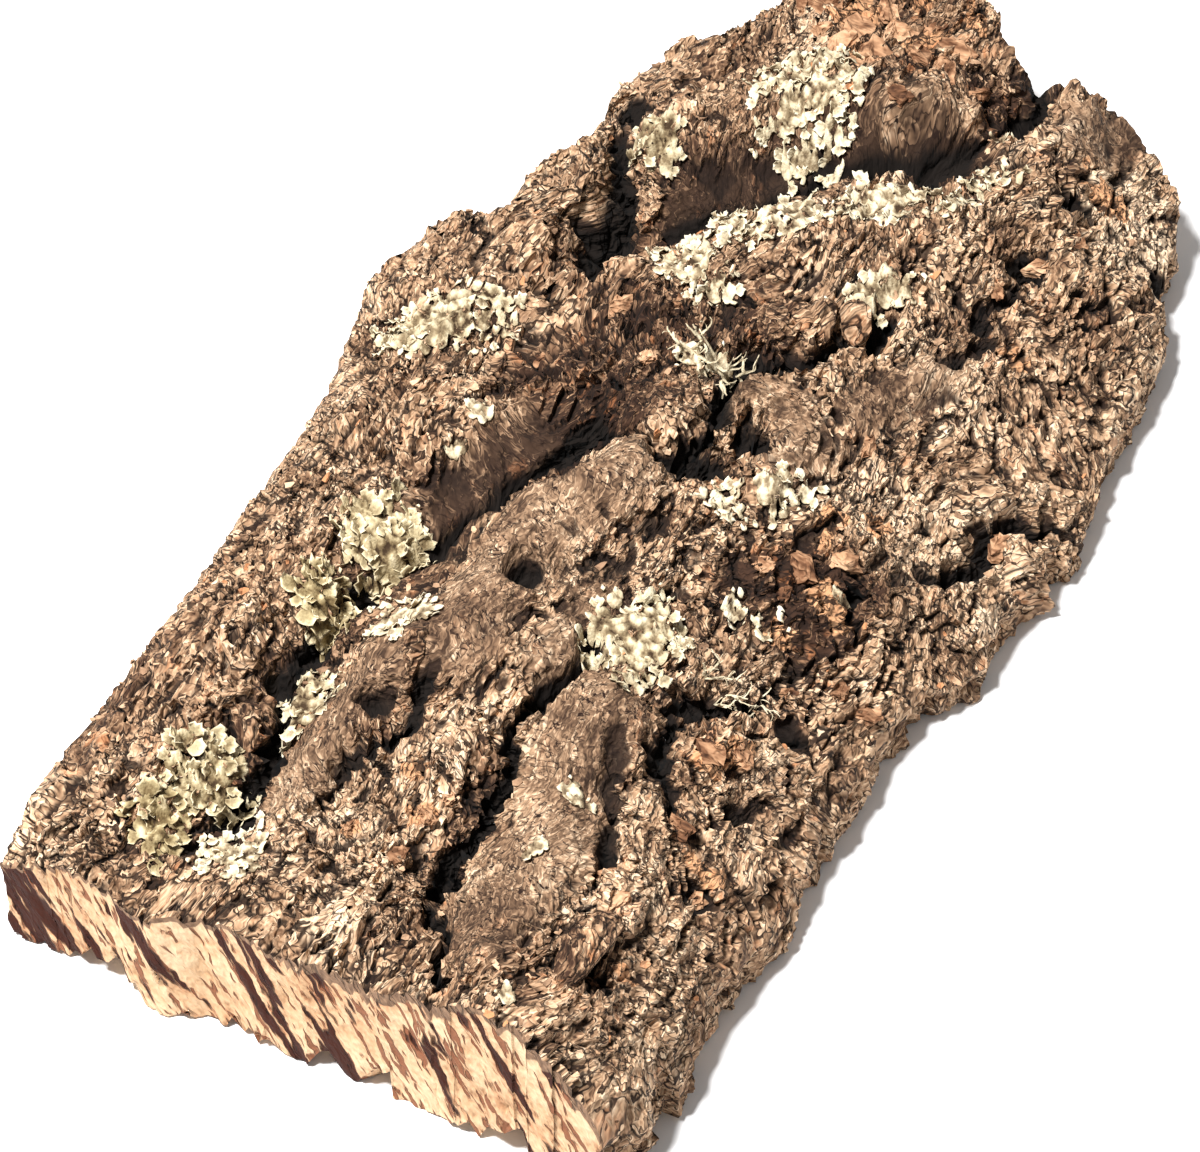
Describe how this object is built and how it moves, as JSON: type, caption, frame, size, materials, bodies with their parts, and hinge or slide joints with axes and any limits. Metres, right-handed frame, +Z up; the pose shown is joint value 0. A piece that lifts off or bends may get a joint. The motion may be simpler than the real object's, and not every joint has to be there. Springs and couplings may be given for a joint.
{
  "type": "cork bark slab",
  "caption": "Flat of rough grey-brown cork bark with deep furrows, rounded rolls, knot holes and pale leafy lichens, to lie as cover, perch or decor.",
  "frame": {"origin": "middle of the footprint on the surface that the slab lies on", "axes": "+X along the grain from the sawn near end to the broken far end, +Y to the left edge, +Z up out of the weathered face"},
  "size_m": [0.3054, 0.1616, 0.0489],
  "materials": {
    "bark": "weathered, flaky and dry, grey-brown to tan",
    "lichen": "matt, leafy and ruffled, pale grey-green"
  },
  "bodies": {
    "root": {"bark": "bark", "lichen_far_lobe": "lichen", "lichen_cup": "lichen", "lichen_diagonal": "lichen", "lichen_shelf_left": "lichen", "lichen_shelf_right": "lichen", "lichen_notch": "lichen", "lichen_flat": "lichen", "lichen_scar": "lichen", "lichen_plateau": "lichen", "lichen_upper_lobes": "lichen", "lichen_middle_lobes": "lichen", "lichen_groove": "lichen", "lichen_tail": "lichen", "lichen_lower_lobes": "lichen", "lichen_corner": "lichen", "lichen_near": "lichen", "lichen_centre": "lichen"}
  },
  "joints": []
}
